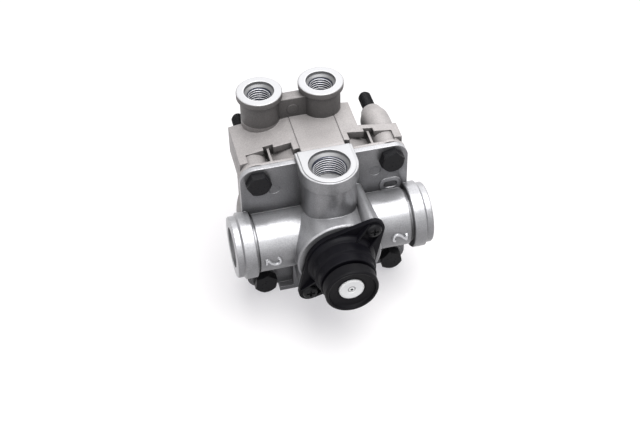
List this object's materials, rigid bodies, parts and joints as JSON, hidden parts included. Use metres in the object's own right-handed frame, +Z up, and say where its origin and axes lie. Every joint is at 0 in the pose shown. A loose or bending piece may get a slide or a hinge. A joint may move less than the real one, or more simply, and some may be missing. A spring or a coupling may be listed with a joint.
{
  "type": "pneumatic relay valve",
  "caption": "Air brake relay valve: two cast housings with supply, delivery and control ports, relay piston, inlet and exhaust valve, double check valve and exhaust flap.",
  "frame": {"origin": "midway between the two mounting studs, on the end faces of their bosses", "axes": "+Y along the working axis towards the mounting studs, the exhaust at -Y; +X and -X through the two delivery ports; +Z up, the way the supply and control ports open"},
  "size_m": [0.12, 0.1229, 0.1247],
  "materials": {
    "cast_bright": "die cast, bright, slightly rough",
    "cast_matt": "die cast, matt",
    "steel_black": "black oxide steel",
    "steel_spring": "drawn spring wire",
    "steel_plug": "turned steel",
    "rubber_black": "smooth moulded rubber",
    "plastic_black": "moulded, satin",
    "plastic_pale": "moulded acetal",
    "plastic_white": "moulded, satin",
    "brass": "turned brass",
    "piston_alloy": "machined"
  },
  "bodies": {
    "housing": {"lower_body": "cast_bright", "upper_housing": "cast_matt", "housing_seal": "rubber_black", "valve_spring": "steel_spring", "valve_guide": "plastic_black", "guide_outer_ring": "rubber_black", "guide_inner_ring": "rubber_black", "guide_snap_ring": "steel_black", "exhaust_cover": "plastic_black", "exhaust_flap": "rubber_black", "flap_button": "plastic_white", "cover_screws": "steel_black", "long_bolts": "steel_black", "short_bolts": "steel_black", "check_seat": "brass", "check_plug": "steel_plug"},
    "piston": {"relay_piston": "piston_alloy", "piston_ring": "rubber_black"},
    "valve": {"valve_body": "plastic_pale", "valve_rubber": "rubber_black"},
    "shuttle": {"check_shuttle": "plastic_pale", "shuttle_faces": "rubber_black"}
  },
  "joints": [
    {"name": "piston_slide", "type": "slide", "parent": "housing", "child": "piston", "axis": [0, -1, 0], "range_m": [0, 0.0035]},
    {"name": "valve_slide", "type": "slide", "parent": "housing", "child": "valve", "axis": [0, -1, 0], "range_m": [0, 0.002], "deforming": ["valve_spring"]},
    {"name": "shuttle_slide", "type": "slide", "parent": "housing", "child": "shuttle", "axis": [1, 0, 0], "range_m": [0, 0.004]}
  ],
  "couplings": [
    {"joint": "valve_slide", "follows": "piston_slide", "ratio": 0.5714}
  ]
}
